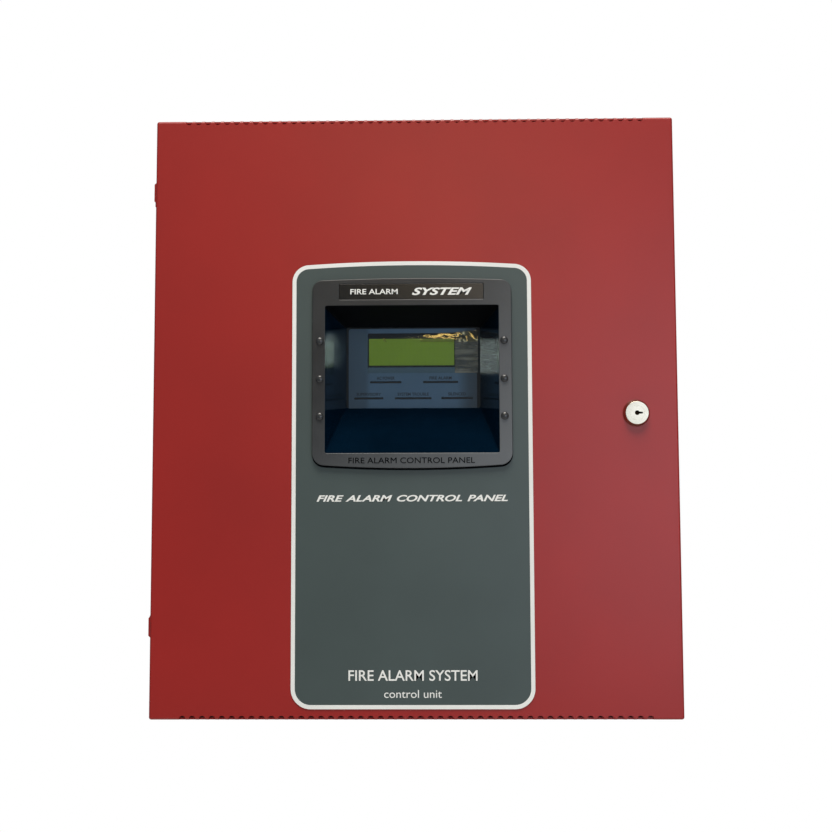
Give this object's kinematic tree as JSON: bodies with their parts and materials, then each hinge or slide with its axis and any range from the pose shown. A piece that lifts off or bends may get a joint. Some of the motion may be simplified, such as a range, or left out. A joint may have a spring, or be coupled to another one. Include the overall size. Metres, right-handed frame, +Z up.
{
  "type": "fire alarm control panel",
  "caption": "Wall-mounted steel cabinet with a hinged, key-locked red door and a deep viewing bezel over a display and keypad, with circuit board, transformer and standby batteries inside.",
  "frame": {"origin": "centre of the backbox's back face, on the wall", "axes": "+X to the right of a person facing the door, +Y into the wall, +Z up; the door faces -Y"},
  "size_m": [0.4327, 0.1417, 0.4892],
  "materials": {
    "red_enamel": "powder-coated red enamel on sheet steel, fine texture, satin",
    "zinc_steel": "bright zinc-plated steel",
    "nickel_plate": "nickel-plated lock face, lightly satin",
    "label_film": "printed polyester label, slate grey with a white border",
    "bezel_plastic": "moulded dark grey ABS, fine spark texture, glossier inside the funnel",
    "clear_acrylic": "clear acrylic window",
    "black_plastic": "black moulded plastic",
    "fascia_plastic": "blue-grey moulded housing with a matt printed face",
    "lcd_screen": "yellow-green liquid crystal display glass",
    "silicone_rubber": "light grey silicone keys",
    "circuit_board": "green solder mask on glass-fibre board",
    "terminal_plastic": "green moulded terminal blocks",
    "core_steel": "varnished steel laminations",
    "winding_tape": "yellow polyester winding tape",
    "battery_case": "dark grey moulded battery case"
  },
  "bodies": {
    "cabinet": {"backbox": "red_enamel", "upper_hinge_cabinet_leaf": "red_enamel", "lower_hinge_cabinet_leaf": "red_enamel", "upper_hinge_pin": "zinc_steel", "lower_hinge_pin": "zinc_steel", "lock_strike": "zinc_steel", "chassis": "zinc_steel", "main_board": "circuit_board", "terminal_block_upper_left": "terminal_plastic", "terminal_block_lower_left": "terminal_plastic", "terminal_block_upper_right": "terminal_plastic", "terminal_block_lower_right": "terminal_plastic", "battery_left": "battery_case", "battery_right": "battery_case", "transformer_core": "core_steel", "transformer_winding": "winding_tape", "display_housing": "fascia_plastic", "lcd_glass": "lcd_screen", "lcd_module": "black_plastic", "lamp_power": "black_plastic", "lamp_alarm": "black_plastic", "lamp_supervisory": "black_plastic", "lamp_trouble": "black_plastic", "lamp_silenced": "black_plastic", "display_board": "circuit_board", "keypad_mat": "silicone_rubber"},
    "door": {"door": "red_enamel", "door_label": "label_film", "upper_hinge_door_leaf": "red_enamel", "lower_hinge_door_leaf": "red_enamel", "window_bezel": "bezel_plastic", "nameplate": "black_plastic", "display_window": "clear_acrylic", "bezel_rivet_left_1": "bezel_plastic", "bezel_rivet_left_2": "bezel_plastic", "bezel_rivet_left_3": "bezel_plastic", "bezel_rivet_right_1": "bezel_plastic", "bezel_rivet_right_2": "bezel_plastic", "bezel_rivet_right_3": "bezel_plastic", "lock_body": "nickel_plate", "lock_nut": "zinc_steel"},
    "lock": {"lock_plug": "nickel_plate", "lock_cam": "zinc_steel", "cam_screw": "zinc_steel"},
    "key_1": {"key_1": "silicone_rubber"},
    "key_2": {"key_2": "silicone_rubber"},
    "key_3": {"key_3": "silicone_rubber"},
    "key_acknowledge": {"key_acknowledge": "silicone_rubber"},
    "key_4": {"key_4": "silicone_rubber"},
    "key_5": {"key_5": "silicone_rubber"},
    "key_6": {"key_6": "silicone_rubber"},
    "key_silence": {"key_silence": "silicone_rubber"},
    "key_7": {"key_7": "silicone_rubber"},
    "key_8": {"key_8": "silicone_rubber"},
    "key_9": {"key_9": "silicone_rubber"},
    "key_drill": {"key_drill": "silicone_rubber"},
    "key_star": {"key_star": "silicone_rubber"},
    "key_0": {"key_0": "silicone_rubber"},
    "key_hash": {"key_hash": "silicone_rubber"},
    "key_reset": {"key_reset": "silicone_rubber"}
  },
  "joints": [
    {"name": "door_swing", "type": "hinge", "parent": "cabinet", "child": "door", "pos_m": [-0.2157, -0.1142, 0], "axis": [0, 0, -1], "range_deg": [0, 175]},
    {"name": "lock_turn", "type": "hinge", "parent": "door", "child": "lock", "pos_m": [0.1794, -0.13, -0.0004], "axis": [0, -1, 0], "range_deg": [0, 90]},
    {"name": "key_1_press", "type": "slide", "parent": "cabinet", "child": "key_1", "axis": [0, 1, 0], "range_m": [0, 0.001], "stiffness_N_per_m": 400},
    {"name": "key_2_press", "type": "slide", "parent": "cabinet", "child": "key_2", "axis": [0, 1, 0], "range_m": [0, 0.001], "stiffness_N_per_m": 400},
    {"name": "key_3_press", "type": "slide", "parent": "cabinet", "child": "key_3", "axis": [0, 1, 0], "range_m": [0, 0.001], "stiffness_N_per_m": 400},
    {"name": "key_acknowledge_press", "type": "slide", "parent": "cabinet", "child": "key_acknowledge", "axis": [0, 1, 0], "range_m": [0, 0.001], "stiffness_N_per_m": 400},
    {"name": "key_4_press", "type": "slide", "parent": "cabinet", "child": "key_4", "axis": [0, 1, 0], "range_m": [0, 0.001], "stiffness_N_per_m": 400},
    {"name": "key_5_press", "type": "slide", "parent": "cabinet", "child": "key_5", "axis": [0, 1, 0], "range_m": [0, 0.001], "stiffness_N_per_m": 400},
    {"name": "key_6_press", "type": "slide", "parent": "cabinet", "child": "key_6", "axis": [0, 1, 0], "range_m": [0, 0.001], "stiffness_N_per_m": 400},
    {"name": "key_silence_press", "type": "slide", "parent": "cabinet", "child": "key_silence", "axis": [0, 1, 0], "range_m": [0, 0.001], "stiffness_N_per_m": 400},
    {"name": "key_7_press", "type": "slide", "parent": "cabinet", "child": "key_7", "axis": [0, 1, 0], "range_m": [0, 0.001], "stiffness_N_per_m": 400},
    {"name": "key_8_press", "type": "slide", "parent": "cabinet", "child": "key_8", "axis": [0, 1, 0], "range_m": [0, 0.001], "stiffness_N_per_m": 400},
    {"name": "key_9_press", "type": "slide", "parent": "cabinet", "child": "key_9", "axis": [0, 1, 0], "range_m": [0, 0.001], "stiffness_N_per_m": 400},
    {"name": "key_drill_press", "type": "slide", "parent": "cabinet", "child": "key_drill", "axis": [0, 1, 0], "range_m": [0, 0.001], "stiffness_N_per_m": 400},
    {"name": "key_star_press", "type": "slide", "parent": "cabinet", "child": "key_star", "axis": [0, 1, 0], "range_m": [0, 0.001], "stiffness_N_per_m": 400},
    {"name": "key_0_press", "type": "slide", "parent": "cabinet", "child": "key_0", "axis": [0, 1, 0], "range_m": [0, 0.001], "stiffness_N_per_m": 400},
    {"name": "key_hash_press", "type": "slide", "parent": "cabinet", "child": "key_hash", "axis": [0, 1, 0], "range_m": [0, 0.001], "stiffness_N_per_m": 400},
    {"name": "key_reset_press", "type": "slide", "parent": "cabinet", "child": "key_reset", "axis": [0, 1, 0], "range_m": [0, 0.001], "stiffness_N_per_m": 400}
  ]
}
